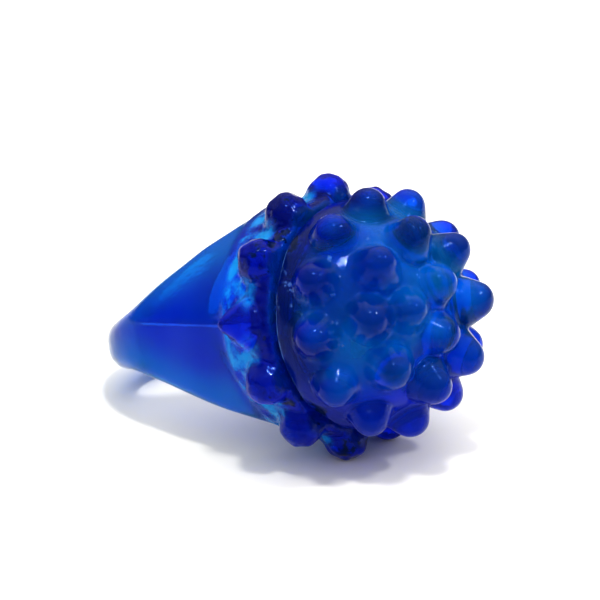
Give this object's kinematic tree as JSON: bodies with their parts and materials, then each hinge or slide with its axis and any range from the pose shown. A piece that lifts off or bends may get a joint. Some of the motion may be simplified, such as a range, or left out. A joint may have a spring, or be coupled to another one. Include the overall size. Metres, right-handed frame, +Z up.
{
  "type": "light-up jelly finger ring",
  "caption": "Soft translucent blue finger ring with a studded dome head, lying on its side, with a sealed flashing lamp module and push button inside.",
  "frame": {"origin": "on the table under the middle of the ring's box, as it lies on two collar studs and the far side of the band's tip", "axes": "+Z up; +X along the table the way the dome points; the dome axis rises 19.9 degrees from +X, and the ring is rolled 15 degrees about it"},
  "size_m": [0.0446, 0.0298, 0.0297],
  "materials": {
    "blue_jelly": "gloss",
    "black_plastic": "satin",
    "frosted_plastic": "satin",
    "board": "satin",
    "chip_resin": "gloss",
    "contact_brass": "satin",
    "spring_steel": "satin",
    "button_plastic": "satin",
    "cell_steel": "polished",
    "cell_seal": "matte",
    "cell_cap": "polished",
    "tinned_wire": "polished",
    "lamp_red": "gloss",
    "lamp_green": "gloss",
    "lamp_blue": "gloss"
  },
  "bodies": {
    "ring": {"bridge_contact": "contact_brass", "cell_1_can": "cell_steel", "cell_1_cap": "cell_cap", "cell_1_seal": "cell_seal", "cell_2_can": "cell_steel", "cell_2_cap": "cell_cap", "cell_2_seal": "cell_seal", "circuit_board": "board", "controller_chip": "chip_resin", "jelly_band": "blue_jelly", "jelly_dome": "blue_jelly", "led_blue": "lamp_blue", "led_blue_leads": "tinned_wire", "led_green": "lamp_green", "led_green_leads": "tinned_wire", "led_red": "lamp_red", "led_red_leads": "tinned_wire", "module_case": "black_plastic", "module_lens": "frosted_plastic", "negative_contact": "contact_brass", "positive_contact": "contact_brass", "snap_dome": "spring_steel"},
    "button": {"push_button": "button_plastic"}
  },
  "joints": [
    {"name": "button_press", "type": "slide", "parent": "ring", "child": "button", "axis": [0.9405, 0, 0.3399], "range_m": [0, 0.00035], "stiffness_N_per_m": 800, "deforming": ["snap_dome"]}
  ]
}
